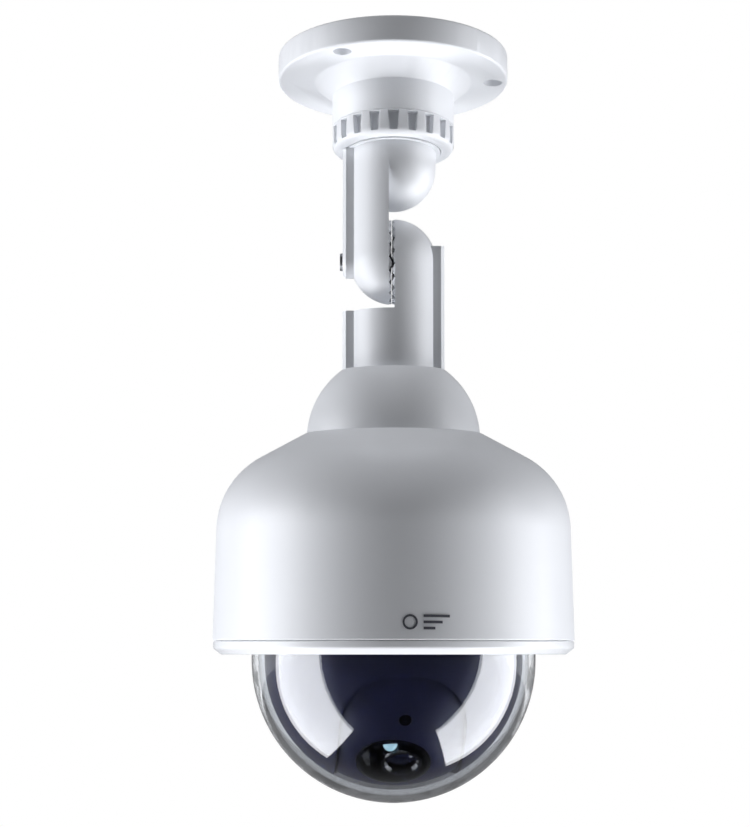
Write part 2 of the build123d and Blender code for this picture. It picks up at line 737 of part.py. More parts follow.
# Turret frame: a ring that turns in the carrier, with two bars and two ears for the drum.
with BuildPart() as turret_frame:
    turned(
        FRONT,
        [
            (TURRET_RING_IN_R, TURRET_TOP_Z),
            (TURRET_FLANGE_R, TURRET_TOP_Z),
            (TURRET_FLANGE_R, TURRET_FLANGE_Z),
            (TURRET_RING_R, TURRET_FLANGE_Z),
            (TURRET_RING_R, TURRET_END_Z),
            (TURRET_RING_IN_R, TURRET_END_Z),
        ],
    )
    for side in (-1, 1):
        with BuildSketch(on(FRONT, Plane.XY, TURRET_END_Z)):
            with Locations((side * (EAR_X + EAR_OUT_X) / 2, 0)):
                Rectangle(EAR_OUT_X - EAR_X, 79)
            with Locations((side * 41.5, 0)):
                Circle(4.2)
        extrude(amount=TURRET_TOP_Z - TURRET_END_Z)
        with BuildSketch(on(FRONT, across(side * EAR_X))):
            with Locations((0, DOME_Z)):
                Circle(7)
                Rectangle(14, TURRET_END_Z - DOME_Z, align=(Align.CENTER, Align.MIN))
        extrude(amount=side * (EAR_OUT_X - EAR_X))
        with BuildSketch(on(FRONT, across(side * (EAR_X - 1)))):
            with Locations((0, DOME_Z)):
                Circle(PIN_R + 0.07)
        extrude(amount=side * 5, mode=Mode.SUBTRACT)
    with BuildSketch(*ring_planes(FRONT, 41.5, 0, 2, TURRET_END_Z)):
        Circle(1.35)
    extrude(amount=5, mode=Mode.SUBTRACT)

turret_frame.part.label = "turret_frame"
export_step(turret_frame.part, "parts/turret_frame.step")

# Black shroud: a thin half ball with the long slot that the drum looks through.
with BuildPart() as inner_shroud:
    with BuildSketch(on(FRONT, Plane.XZ)):
        with BuildLine():
            shroud_in_r = SHROUD_R - SHROUD_WALL
            Line((SHROUD_R, TURRET_END_Z), (SHROUD_R, DOME_Z))
            RadiusArc((SHROUD_R, DOME_Z), (0, DOME_Z - SHROUD_R), SHROUD_R)
            Line((0, DOME_Z - SHROUD_R), (0, DOME_Z - shroud_in_r))
            RadiusArc((0, DOME_Z - shroud_in_r), (shroud_in_r, DOME_Z), -shroud_in_r)
            Line((shroud_in_r, DOME_Z), (shroud_in_r, TURRET_END_Z))
            Line((shroud_in_r, TURRET_END_Z), (SHROUD_R, TURRET_END_Z))
        make_face()
    revolve(axis=spin_axis(FRONT))
    with BuildSketch(*ring_planes(FRONT, 41.5, 0, 2, TURRET_END_Z)):
        Circle(3.6)
        Rectangle(4.2, 7.2, align=(Align.MIN, Align.CENTER))
    extrude(amount=-2)
    with BuildSketch(*ring_planes(FRONT, 41.5, 0, 2, TURRET_END_Z + 1)):
        Circle(1.5)
    extrude(amount=-5, mode=Mode.SUBTRACT)
    with BuildSketch(on(LENS, Plane.XY, 5)):
        with Locations((0, (SLOT_HIGH + SLOT_LOW) / 2)):
            RectangleRounded(2 * SLOT_HALF_W, SLOT_HIGH - SLOT_LOW, SLOT_CORNER_R)
    extrude(amount=50, mode=Mode.SUBTRACT)

inner_shroud.part.label = "inner_shroud"
export_step(inner_shroud.part, "parts/inner_shroud.step")

# Two screws that hold the shroud to the turret frame.
with BuildPart() as shroud_screws:
    pan_screw(ring_planes(FRONT, 41.5, 0, 2, TURRET_END_Z - 2, down=True), 2.5, 1.7, 1.3, 6.5)

shroud_screws.part.label = "shroud_screws"
export_step(shroud_screws.part, "parts/shroud_screws.step")

# ---------------------------------------------------------------- lens drum


def drum_slice(ball, half_w, mode=Mode.ADD):
    """A slice of a ball about the drum's tilt axis."""
    rim = sqrt(ball**2 - half_w**2)
    with BuildSketch(on(LENS)) as half_slice:
        with BuildLine():
            Line((-half_w, 0), (-half_w, rim))
            RadiusArc((-half_w, rim), (half_w, rim), ball)
            Polyline((half_w, rim), (half_w, 0), (-half_w, 0))
        make_face()
    revolve(half_slice.sketch, axis=hinge_axis(LENS), mode=mode)


WINDOW = LENS * Location((0, 0, 0), (-WINDOW_TURN, 0, 0))

# Lens drum: a hollow slice of a ball, open at the back, that tilts on two screws.
with BuildPart() as lens_drum:
    drum_slice(DRUM_R, DRUM_HALF_W)
    drum_slice(DRUM_R - DRUM_WALL, DRUM_CHEEK_X, Mode.SUBTRACT)
    with BuildSketch(on(LENS, across(-DRUM_HALF_W))):
        Circle(5)
    extrude(amount=5)
    with BuildSketch(on(LENS, across(DRUM_HALF_W))):
        Circle(5)
    extrude(amount=-5)
    with BuildSketch(on(LENS, Plane.XY, DRUM_BACK)):
        Rectangle(60, 120)
    extrude(amount=-60, mode=Mode.SUBTRACT)
    with BuildSketch(on(LENS, across(-DRUM_HALF_W - 1))):
        Circle(PIN_R + 0.05)
    extrude(amount=2 * DRUM_HALF_W + 2, mode=Mode.SUBTRACT)
    with BuildSketch(on(LENS, Plane.XY, 20)):
        with Locations((BEZEL_X, 0)):
            Circle(BEZEL_R + 0.05)
    extrude(amount=40, mode=Mode.SUBTRACT)
    with BuildSketch(on(WINDOW, Plane.XY, 30)):
        with Locations((LENS_X, 0)):
            Circle(WINDOW_R + 0.05)
    extrude(amount=30, mode=Mode.SUBTRACT)

lens_drum.part.label = "lens_drum"
export_step(lens_drum.part, "parts/lens_drum.step")

# Two shouldered screws through the ears: the drum turns with them.
with BuildPart() as pivot_screws:
    for side in (-1, 1):
        with BuildSketch(on(LENS, across(side * (EAR_OUT_X + 0.3)))):
            Circle(4)
        extrude(amount=side * 1.4)
        with BuildSketch(on(LENS, across(side * (EAR_OUT_X + 0.3)))):
            Circle(PIN_R)
        extrude(amount=-side * 8.8)
        with BuildSketch(on(LENS, across(side * (EAR_OUT_X + 1.7)))):
            Rectangle(5, 0.9)
        extrude(amount=-side * 0.8, mode=Mode.SUBTRACT)

pivot_screws.part.label = "pivot_screws"
export_step(pivot_screws.part, "parts/pivot_screws.step")

# Bezel: a round dish let into the drum, its rim cut to the drum's own curve.
with BuildPart() as lens_bezel:
    with BuildSketch(on(LENS, Plane.XY, BEZEL_BACK)):
        with Locations((BEZEL_X, 0)):
            Circle(BEZEL_R)
    extrude(amount=12)
    with BuildSketch(on(LENS, Plane.XY, BEZEL_FLOOR)):
        with Locations((BEZEL_X, 0)):
            Circle(BEZEL_IN_R)
    extrude(amount=12, mode=Mode.SUBTRACT)
    with Locations(LENS):
        Sphere(DRUM_R + 0.35, mode=Mode.INTERSECT)
    with BuildSketch(on(LENS, Plane.XY, BOARD_TOP)):
        with Locations((BEZEL_X + 8.5, 0), (BEZEL_X - 8.5, 0)):
            Circle(2)
            Circle(0.95, mode=Mode.SUBTRACT)
    extrude(amount=BEZEL_BACK - BOARD_TOP)
    with BuildSketch(on(LENS, Plane.XY, BEZEL_BACK - 1)):
        with Locations((LED_X, LED_Y)):
            Circle(1.9)
    extrude(amount=3, mode=Mode.SUBTRACT)

lens_bezel.part.label = "lens_bezel"
export_step(lens_bezel.part, "parts/lens_bezel.step")

# Lens barrel: a tube with a seat for the glass.
with BuildPart() as lens_barrel:
    with BuildSketch(on(LENS, Plane.XY, BEZEL_FLOOR)):
        with Locations((LENS_X, 0)):
            Circle(BARREL_R)
            Circle(BARREL_IN_R - 1, mode=Mode.SUBTRACT)
    extrude(amount=2)
    with BuildSketch(on(LENS, Plane.XY, BEZEL_FLOOR + 2)):
        with Locations((LENS_X, 0)):
            Circle(BARREL_R)
            Circle(BARREL_IN_R, mode=Mode.SUBTRACT)
    extrude(amount=BARREL_TOP - BEZEL_FLOOR - 2)

lens_barrel.part.label = "lens_barrel"
export_step(lens_barrel.part, "parts/lens_barrel.step")

# Lens glass: thicker in the middle, curved on its outer side.
LENS_SPOT = LENS * Location((LENS_X, 0, 0))

with BuildPart() as lens_glass:
    with BuildSketch(on(LENS_SPOT, Plane.XZ)):
        with BuildLine():
            glass_r = BARREL_IN_R - 0.05
            glass_back = BEZEL_FLOOR + 2
            rise = GLASS_MIDDLE - GLASS_EDGE
            curve_r = (glass_r**2 + rise**2) / (2 * rise)
            Line((0, glass_back), (glass_r, glass_back))
            Line((glass_r, glass_back), (glass_r, glass_back + GLASS_EDGE))
            RadiusArc((glass_r, glass_back + GLASS_EDGE), (0, glass_back + GLASS_MIDDLE), -curve_r)
            Line((0, glass_back + GLASS_MIDDLE), (0, glass_back))
        make_face()
    revolve(axis=spin_axis(LENS_SPOT))

lens_glass.part.label = "lens_glass"
export_step(lens_glass.part, "parts/lens_glass.step")

# Retaining ring on the barrel's end.
with BuildPart() as lens_retainer:
    turned(
        LENS_SPOT,
        [
            (BARREL_IN_R - 0.9, BARREL_TOP),
            (BARREL_R, BARREL_TOP),
            (BARREL_R - 0.3, RETAINER_TOP),
            (BARREL_IN_R, RETAINER_TOP),
        ],
    )

lens_retainer.part.label = "lens_retainer"
export_step(lens_retainer.part, "parts/lens_retainer.step")

# Light-emitting diode: a 5 mm lamp with two legs down to the board.
LED_SPOT = LENS * Location((LED_X, LED_Y, 0))

with BuildPart() as led_lamp:
    with BuildSketch(on(LED_SPOT, Plane.XZ)):
        with BuildLine():
            Line((0, BEZEL_FLOOR), (LED_R, BEZEL_FLOOR))
            Line((LED_R, BEZEL_FLOOR), (LED_R, LED_TOP - LED_R))
            RadiusArc((LED_R, LED_TOP - LED_R), (0, LED_TOP), -LED_R)
            Line((0, LED_TOP), (0, BEZEL_FLOOR))
        make_face()
    revolve(axis=spin_axis(LED_SPOT))
    with BuildSketch(on(LED_SPOT, Plane.XY, BEZEL_FLOOR)):
        with Locations((LED_LEG_GAP, 0), (-LED_LEG_GAP, 0)):
            Rectangle(0.5, 0.5)
    extrude(amount=-(BEZEL_FLOOR - BOARD_TOP + BOARD_T + 1))

led_lamp.part.label = "led_lamp"
export_step(led_lamp.part, "parts/led_lamp.step")

# Flasher board behind the bezel.
with BuildPart() as led_board:
    with BuildSketch(on(LENS, Plane.XY, BOARD_TOP - BOARD_T)):
        with Locations((BEZEL_X, 0)):
            Circle(BOARD_R)
        with Locations((BEZEL_X + 8.5, 0), (BEZEL_X - 8.5, 0)):
            Circle(0.95, mode=Mode.SUBTRACT)
        with Locations((LED_X + LED_LEG_GAP, LED_Y), (LED_X - LED_LEG_GAP, LED_Y)):
            Circle(0.45, mode=Mode.SUBTRACT)
    extrude(amount=BOARD_T)

led_board.part.label = "led_board"
export_step(led_board.part, "parts/led_board.step")

with BuildPart() as board_screws:
    board_screw_planes = []
    for side in (-1, 1):
        spot = LENS * Location((BEZEL_X + side * 8.5, 0, BOARD_TOP - BOARD_T), (HALF_TURN, 0, 0))
        board_screw_planes.append(Plane(spot))
    pan_screw(board_screw_planes, 1.8, 1.2, 0.9, 3.8)

board_screws.part.label = "board_screws"
export_step(board_screws.part, "parts/board_screws.step")

BOARD_BACK = BOARD_TOP - BOARD_T

# Timer chip with its eight pins.
with BuildPart() as timer_chip:
    with BuildSketch(on(LENS, Plane.XY, BOARD_BACK - 0.2)):
        with Locations((BEZEL_X, 1.5)):
            Rectangle(5.0, 4.0)
    extrude(amount=-1.5)
    with BuildSketch(on(LENS, Plane.XY, BOARD_BACK)):
        with Locations((BEZEL_X, 1.5)):
            with GridLocations(1.27, 5.2, 4, 2):
                Rectangle(0.4, 1.4)
    extrude(amount=-0.5)

timer_chip.part.label = "timer_chip"
export_step(timer_chip.part, "parts/timer_chip.step")

with BuildPart() as board_capacitor:
    with BuildSketch(on(LENS, Plane.XY, BOARD_BACK)):
        with Locations((BEZEL_X + 1, -5.5)):
            Circle(2.5)
    extrude(amount=-7)
    fillet(edges().filter_by(GeomType.CIRCLE), 0.4)

board_capacitor.part.label = "board_capacitor"
export_step(board_capacitor.part, "parts/board_capacitor.step")

with BuildPart() as board_resistors:
    with BuildSketch(on(LENS, Plane.XY, BOARD_BACK)):
        with Locations((BEZEL_X - 5.5, -4.0), (BEZEL_X + 6.0, 4.8), (BEZEL_X - 5.0, 4.8)):
            Rectangle(1.6, 3.2)
    extrude(amount=-0.6)

board_resistors.part.label = "board_resistors"
export_step(board_resistors.part, "parts/board_resistors.step")

# Small dark window in the drum above the lens.
with BuildPart() as sensor_window:
    with BuildSketch(on(WINDOW, Plane.XY, DRUM_R - DRUM_WALL - 0.6)):
        with Locations((LENS_X, 0)):
            Circle(WINDOW_R)
    extrude(amount=DRUM_WALL + 0.1)

sensor_window.part.label = "sensor_window"
export_step(sensor_window.part, "parts/sensor_window.step")

# ---------------------------------------------------------------- battery holder

# Open holder for two AA cells, screwed to the bell's roof with its open side down.
with BuildPart() as battery_holder:
    with BuildSketch(on(HEAD, Plane.XY, HOLDER_END_Z)):
        RectangleRounded(2 * HOLDER_X, 2 * HOLDER_Y, 1.5)
    extrude(amount=HOLDER_TOP_Z - HOLDER_END_Z)
    with BuildSketch(on(HEAD, Plane.XY, HOLDER_END_Z)):
        Rectangle(2 * (HOLDER_X - HOLDER_WALL), 2 * (HOLDER_Y - HOLDER_WALL))
        Rectangle(2 * HOLDER_X, 0.5, mode=Mode.SUBTRACT)
        Rectangle(40, 0.5)
    extrude(amount=HOLDER_TOP_Z - HOLDER_END_Z - 2, mode=Mode.SUBTRACT)
    with BuildSketch(on(HEAD, Plane.XY, HOLDER_END_Z)):
        Rectangle(2 * (HOLDER_X - HOLDER_WALL), 2)
    extrude(amount=6, mode=Mode.SUBTRACT)
    with BuildSketch(*ring_planes(HEAD, 15, 0, 2, HOLDER_TOP_Z + 1)):
        Circle(1.5)
    extrude(amount=-4, mode=Mode.SUBTRACT)

battery_holder.part.label = "battery_holder"
export_step(battery_holder.part, "parts/battery_holder.step")

CELL_START_X = -24.6

with BuildPart() as battery_cells:
    for side in (-1, 1):
        cell = HEAD * Location((0, side * CELL_Y, CELL_Z), (0, 0, 90 - side * 90))
        with BuildSketch(on(cell, across(CELL_START_X))):
            Circle(CELL_R)
        extrude(amount=CELL_L)
        with BuildSketch(on(cell, across(CELL_START_X + CELL_L))):
            Circle(2.7)
        extrude(amount=1.4)

battery_cells.part.label = "battery_cells"
export_step(battery_cells.part, "parts/battery_cells.step")

# One coil of the sprung contacts, standing on Z = 0. The two springs are copies of it.
with BuildPart() as coil:
    with BuildLine():
        turns = Helix(pitch=0.95, height=2.1, radius=3.0)
    with BuildSketch(Plane(origin=turns @ 0, z_dir=turns % 0)):
        Circle(0.35)
    sweep(is_frenet=True)

# Sprung contacts at the negative ends.
with BuildPart() as battery_springs:
    for side in (-1, 1):
        cell = HEAD * Location((0, side * CELL_Y, CELL_Z), (0, 0, 90 - side * 90))
        with Locations(cell * Location((HOLDER_WALL - HOLDER_X + 0.85, 0, 0), (0, 90, 0))):
            add(coil.part)

battery_springs.part.label = "battery_springs"
export_step(battery_springs.part, "parts/battery_springs.step")

with BuildPart() as battery_contacts:
    for side in (-1, 1):
        with BuildSketch(on(HEAD, across(side * (HOLDER_X - HOLDER_WALL)))):
            with Locations((CELL_Y, CELL_Z), (-CELL_Y, CELL_Z)):
                Rectangle(9, 10)
        extrude(amount=-side * 0.4)

battery_contacts.part.label = "battery_contacts"
export_step(battery_contacts.part, "parts/battery_contacts.step")

with BuildPart() as holder_screws:
    pan_screw(ring_planes(HEAD, 15, 0, 2, HOLDER_TOP_Z - 2, down=True), 2.3, 1.2, 1.25, 6)

holder_screws.part.label = "holder_screws"
export_step(holder_screws.part, "parts/holder_screws.step")

SWITCH_TOP_Z = -74.0
SWITCH_END_Z = -80.0

# Slide switch on the holder's side, with its knob pointing down.
with BuildPart() as switch_body:
    with BuildSketch(on(HEAD, Plane.XY, SWITCH_END_Z)):
        with Locations((0, HOLDER_Y + 3)):
            Rectangle(12, 6)
    extrude(amount=SWITCH_TOP_Z - SWITCH_END_Z)
    with BuildSketch(on(HEAD, Plane.XY, SWITCH_END_Z)):
        with Locations((0, HOLDER_Y + 3)):
            Rectangle(7.1, 3.6)
    extrude(amount=2.5, mode=Mode.SUBTRACT)

switch_body.part.label = "switch_body"
export_step(switch_body.part, "parts/switch_body.step")

with BuildPart() as switch_slider:
    with BuildSketch(on(HEAD, Plane.XY, SWITCH_END_Z + 2.2)):
        with Locations((-1.25, HOLDER_Y + 3)):
            Rectangle(4.0, 3.0)
    extrude(amount=-2.4)
    with BuildSketch(on(HEAD, Plane.XY, SWITCH_END_Z - 0.2)):
        with Locations((-1.25, HOLDER_Y + 3)):
            Rectangle(2.6, 2.4)
    extrude(amount=-2.6)

switch_slider.part.label = "switch_slider"
export_step(switch_slider.part, "parts/switch_slider.step")

# Two-pin socket on the other side of the holder, where the board's lead plugs in.
with BuildPart() as lead_socket:
    with BuildSketch(on(HEAD, Plane.XY, -79)):
        with Locations((18, HOLDER_Y + 2.5)):
            Rectangle(6, 5)
    extrude(amount=7)
    with BuildSketch(on(HEAD, Plane.XY, -79)):
        with Locations((18, HOLDER_Y + 2.5)):
            Rectangle(4.4, 3.4)
    extrude(amount=5, mode=Mode.SUBTRACT)

lead_socket.part.label = "lead_socket"
export_step(lead_socket.part, "parts/lead_socket.step")

LEAD_R = 0.6


def lead(points, bend):
    """A thin insulated wire along a route given in the head's own axes."""
    with BuildLine(on(HEAD)) as path:
        route = FilletPolyline(*points, radius=bend)
    with BuildSketch(Plane(origin=route @ 0, z_dir=route % 0)) as section:
        Circle(LEAD_R)
    sweep(section.sketch, path=path.line)


# Red lead from the switch to the socket, black lead from the holder's end to the socket.
with BuildPart() as lead_red:
    lead([(6.1, HOLDER_Y + 1.2, -76), (10, HOLDER_Y + 1.2, -76), (14.9, HOLDER_Y + 2.6, -75)], 3)

lead_red.part.label = "lead_red"
export_step(lead_red.part, "parts/lead_red.step")

with BuildPart() as lead_black:
    lead(
        [
            (HOLDER_X + 0.1, HOLDER_Y - 6, -77),
            (HOLDER_X + 3.5, HOLDER_Y - 6, -77),
            (HOLDER_X + 3.5, HOLDER_Y + 2.6, -76),
            (21.1, HOLDER_Y + 2.6, -75),
        ],
        2.4,
    )

lead_black.part.label = "lead_black"
export_step(lead_black.part, "parts/lead_black.step")
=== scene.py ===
import logging
from dataclasses import dataclass, field
from enum import Enum
from math import cos, radians, sin
from typing import Iterable, Sequence, Union

import bpy
from mathutils import Matrix, Vector


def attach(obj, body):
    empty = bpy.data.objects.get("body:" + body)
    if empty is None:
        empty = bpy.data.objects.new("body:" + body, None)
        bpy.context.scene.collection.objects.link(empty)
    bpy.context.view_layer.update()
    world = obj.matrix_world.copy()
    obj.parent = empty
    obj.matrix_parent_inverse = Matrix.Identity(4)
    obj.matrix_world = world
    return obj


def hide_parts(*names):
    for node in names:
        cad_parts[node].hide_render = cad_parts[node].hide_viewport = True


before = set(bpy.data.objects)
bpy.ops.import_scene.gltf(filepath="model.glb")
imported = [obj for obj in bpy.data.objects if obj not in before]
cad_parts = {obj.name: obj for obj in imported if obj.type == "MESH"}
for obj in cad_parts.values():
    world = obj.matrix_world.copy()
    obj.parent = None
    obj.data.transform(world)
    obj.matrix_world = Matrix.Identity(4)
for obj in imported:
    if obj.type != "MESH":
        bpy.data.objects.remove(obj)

# A ceiling dome camera on a pan and tilt bracket. Sizes are in metres, +Z points up to the
# ceiling, -Y is the front and X runs along the tilting hinge.

LOG = logging.getLogger("dome_camera")

MM = 0.001
Colour = tuple[float, float, float, float]
Setting = Union[float, int, bool, Sequence[float], bpy.types.NodeSocket]

# The head's frame stands on the hinge and leans forward with the lower arm.
HINGE_DROP = 79.6 * MM
LEAN = radians(9)
HEAD = Matrix.Translation((0, 0, -HINGE_DROP)) @ Matrix.Rotation(LEAN, 4, "X")

# Points of a copied mesh closer than this are one point, and faces flatter than this are one.
WELD = 0.002 * MM
FLAT = radians(0.4)

# Faces that meet at less than this angle, in degrees, are shaded as one.
SHADED_AS_ONE = 40.0


# ---------------------------------------------------------------- materials


def linear(code: str) -> Colour:
    """Turn an sRGB hex colour into the linear colour that shaders take.

    Args:
        code: Six hex digits, such as "f2f2ee".

    Returns:
        Red, green, blue and a full alpha.
    """
    parts = [int(code[at : at + 2], 16) / 255 for at in (0, 2, 4)]
    red, green, blue = (c / 12.92 if c <= 0.04045 else ((c + 0.055) / 1.055) ** 2.4 for c in parts)
    return (red, green, blue, 1.0)


def per_mm(size: float) -> float:
    """Pattern scale on coordinates in metres, for a feature of so many millimetres."""
    return 1000.0 / size


def add_node(
    tree: bpy.types.NodeTree,
    kind: str,
    inputs: dict[Union[int, str], Setting] | None = None,
    **settings: object,
) -> bpy.types.Node:
    """Add a node with its settings, and fill its inputs from values or from other outputs.

    Args:
        tree: The node tree to add to.
        kind: Blender's name for the node.
        inputs: Socket name or number to a value, or to the output that feeds it.
        settings: Properties of the node itself.

    Returns:
        The new node.
    """
    made = tree.nodes.new(kind)
    for name, value in settings.items():
        setattr(made, name, value)
    for socket, value in (inputs or {}).items():
        if isinstance(value, bpy.types.NodeSocket):
            tree.links.new(value, made.inputs[socket])
        else:
            made.inputs[socket].default_value = value
    return made


@dataclass(frozen=True)
class Finish:
    """What a material is, before its surface is drawn.

    The roughness is the middle of its range, and a metal keeps the default IOR.
    """

    name: str
    colour: str
    roughness: float
    ior: float = 1.5
    metallic: float = 0.0

    def material(self) -> bpy.types.Material:
        """Make the material on first use, and hand out the same one after that."""
        made = bpy.data.materials.get(self.name)
        if made is not None:
            return made
        made = bpy.data.materials.new(self.name)
        made.use_nodes = True
        made.diffuse_color = linear(self.colour)
        tree = made.node_tree
        tree.nodes.clear()
        shader = add_node(
            tree,
            "ShaderNodeBsdfPrincipled",
            {
                "Base Color": linear(self.colour),
                "Roughness": self.roughness,
                "IOR": self.ior,
                "Metallic": self.metallic,
            },
        )
        add_node(tree, "ShaderNodeOutputMaterial", {"Surface": shader.outputs["BSDF"]})
        place = add_node(tree, "ShaderNodeTexCoord").outputs["Object"]
        self.surface(tree, shader, place)
        return made

    def surface(
        self,
        tree: bpy.types.NodeTree,
        shader: bpy.types.Node,
        place: bpy.types.NodeSocket,
    ) -> None:
        """Draw what the making of the surface left on it.

        Args:
            tree: The material's nodes.
            shader: Its principled shader.
            place: Object coordinates, in metres.
        """
        raise NotImplementedError


@dataclass(frozen=True)
class Moulded(Finish):
    """Injection moulded plastic: a slow drift of tone and the grain of the mould's steel."""

    shade: str = "e6e6e2"
    drift_mm: float = 38.0
    grain_mm: float = 0.7
    grain_depth: float = 0.02
    spread: float = 0.05
    coat: float = 0.0
    subsurface: float = 0.0

    def surface(
        self,
        tree: bpy.types.NodeTree,
        shader: bpy.types.Node,
        place: bpy.types.NodeSocket,
    ) -> None:
        """Tone drifts over centimetres, and the grain changes gloss and slope together."""
        drift = add_node(
            tree,
            "ShaderNodeTexNoise",
            {"Vector": place, "Scale": per_mm(self.drift_mm), "Detail": 3.0, "Roughness": 0.55},
        )
        tone = add_node(
            tree,
            "ShaderNodeMix",
            {0: drift.outputs["Fac"], 6: linear(self.colour), 7: linear(self.shade)},
            data_type="RGBA",
        )
        grain = add_node(
            tree,
            "ShaderNodeTexNoise",
            {"Vector": place, "Scale": per_mm(self.grain_mm), "Detail": 2.0},
        )
        gloss = add_node(
            tree,
            "ShaderNodeMapRange",
            {
                "Value": grain.outputs["Fac"],
                "From Min": 0.3,
                "From Max": 0.7,
                "To Min": self.roughness - self.spread,
                "To Max": self.roughness + self.spread,
            },
        )
        relief = add_node(
            tree,
            "ShaderNodeBump",
            {
                "Height": grain.outputs["Fac"],
                "Strength": 1.0,
                "Distance": self.grain_depth * MM,
            },
        )
        tree.links.new(tone.outputs[2], shader.inputs["Base Color"])
        tree.links.new(gloss.outputs["Result"], shader.inputs["Roughness"])
        tree.links.new(relief.outputs["Normal"], shader.inputs["Normal"])
        shader.inputs["Coat Weight"].default_value = self.coat
        shader.inputs["Coat Roughness"].default_value = 0.12
        shader.inputs["Subsurface Weight"].default_value = self.subsurface
        shader.inputs["Subsurface Scale"].default_value = 1.2 * MM


@dataclass(frozen=True)
class Plated(Finish):
    """Plated or drawn metal: bright, with fine marks of tool and barrel in its gloss."""

    shade: str = "9a9da1"
    mark_mm: float = 0.35
    cloud_mm: float = 3.5

    def surface(
        self,
        tree: bpy.types.NodeTree,
        shader: bpy.types.Node,
        place: bpy.types.NodeSocket,
    ) -> None:
        """Fine marks in the gloss and the slope, and a cloudy change of the plating."""
        marks = add_node(
            tree,
            "ShaderNodeTexNoise",
            {"Vector": place, "Scale": per_mm(self.mark_mm), "Detail": 3.0},
        )
        cloud = add_node(
            tree,
            "ShaderNodeTexNoise",
            {"Vector": place, "Scale": per_mm(self.cloud_mm), "Detail": 2.0},
        )
        tone = add_node(
            tree,
            "ShaderNodeMix",
            {0: cloud.outputs["Fac"], 6: linear(self.colour), 7: linear(self.shade)},
            data_type="RGBA",
        )
        gloss = add_node(
            tree,
            "ShaderNodeMapRange",
            {
                "Value": marks.outputs["Fac"],
                "To Min": self.roughness - 0.1,
                "To Max": self.roughness + 0.14,
            },
        )
        relief = add_node(
            tree,
            "ShaderNodeBump",
            {"Height": marks.outputs["Fac"], "Strength": 0.5, "Distance": 0.01 * MM},
        )
        tree.links.new(tone.outputs[2], shader.inputs["Base Color"])
        tree.links.new(gloss.outputs["Result"], shader.inputs["Roughness"])
        tree.links.new(relief.outputs["Normal"], shader.inputs["Normal"])


@dataclass(frozen=True)
class Clear(Finish):
    """Clear moulded or ground material, with handling marks too fine to cloud it."""

    transmission: float = 1.0
    haze_mm: float = 9.0
    smear: float = 0.02
    coat: float = 0.0

    def surface(
        self,
        tree: bpy.types.NodeTree,
        shader: bpy.types.Node,
        place: bpy.types.NodeSocket,
    ) -> None:
        """A faint change of gloss, as wiping leaves on a clear face."""
        wiped = add_node(
            tree,
            "ShaderNodeTexNoise",
            {"Vector": place, "Scale": per_mm(self.haze_mm), "Detail": 4.0, "Roughness": 0.6},
        )
        gloss = add_node(
            tree,
            "ShaderNodeMapRange",
            {
                "Value": wiped.outputs["Fac"],
                "From Min": 0.35,
                "From Max": 0.75,
                "To Min": self.roughness,
                "To Max": self.roughness + self.smear,
            },
        )
        tree.links.new(gloss.outputs["Result"], shader.inputs["Roughness"])
        shader.inputs["Transmission Weight"].default_value = self.transmission
        shader.inputs["Coat Weight"].default_value = self.coat
        shader.inputs["Coat Roughness"].default_value = 0.02


@dataclass(frozen=True)
class Resin(Clear):
    """Clear casting resin of a lamp, with a painted highlight given as a faint cold glow."""

    painted_highlight: str = "d8f6ff"
    painted_highlight_strength: float = 0.35

    def surface(
        self,
        tree: bpy.types.NodeTree,
        shader: bpy.types.Node,
        place: bpy.types.NodeSocket,
    ) -> None:
        """The wiped gloss of clear resin, with a cold glow that paints a highlight on it."""
        super().surface(tree, shader, place)
        # The emission paints a pale cyan highlight on the resin; the lamp's chip is not lit.
        shader.inputs["Emission Color"].default_value = linear(self.painted_highlight)
        shader.inputs["Emission Strength"].default_value = self.painted_highlight_strength


@dataclass(frozen=True)
class Laminate(Finish):
    """Glass-fibre board under solder mask: a cloth that shows faintly, and copper tracks."""

    track: str = "3f7f4c"
    track_mm: float = 1.9
    weave_mm: float = 1.6

    def surface(
        self,
        tree: bpy.types.NodeTree,
        shader: bpy.types.Node,
        place: bpy.types.NodeSocket,
    ) -> None:
        """Tracks are the edges of square cells, raised by the copper's thickness."""
        tracks = add_node(
            tree,
            "ShaderNodeTexVoronoi",
            {"Vector": place, "Scale": per_mm(self.track_mm)},
            distance="CHEBYCHEV",
            feature="F2",
        )
        edge = add_node(
            tree,
            "ShaderNodeMapRange",
            {"Value": tracks.outputs["Distance"], "From Min": 0.62, "From Max": 0.7},
        )
        weave = add_node(
            tree,
            "ShaderNodeTexWave",
            {"Vector": place, "Scale": per_mm(self.weave_mm), "Distortion": 0.4},
        )
        mask = add_node(
            tree,
            "ShaderNodeMix",
            {0: edge.outputs["Result"], 6: linear(self.colour), 7: linear(self.track)},
            data_type="RGBA",
        )
        height = add_node(
            tree,
            "ShaderNodeMath",
            {0: weave.outputs["Fac"], 1: 0.25, 2: edge.outputs["Result"]},
            operation="MULTIPLY_ADD",
        )
        relief = add_node(
            tree,
            "ShaderNodeBump",
            {"Height": height.outputs["Value"], "Strength": 0.8, "Distance": 0.035 * MM},
        )
        tree.links.new(mask.outputs[2], shader.inputs["Base Color"])
        tree.links.new(relief.outputs["Normal"], shader.inputs["Normal"])
        shader.inputs["Coat Weight"].default_value = 0.4


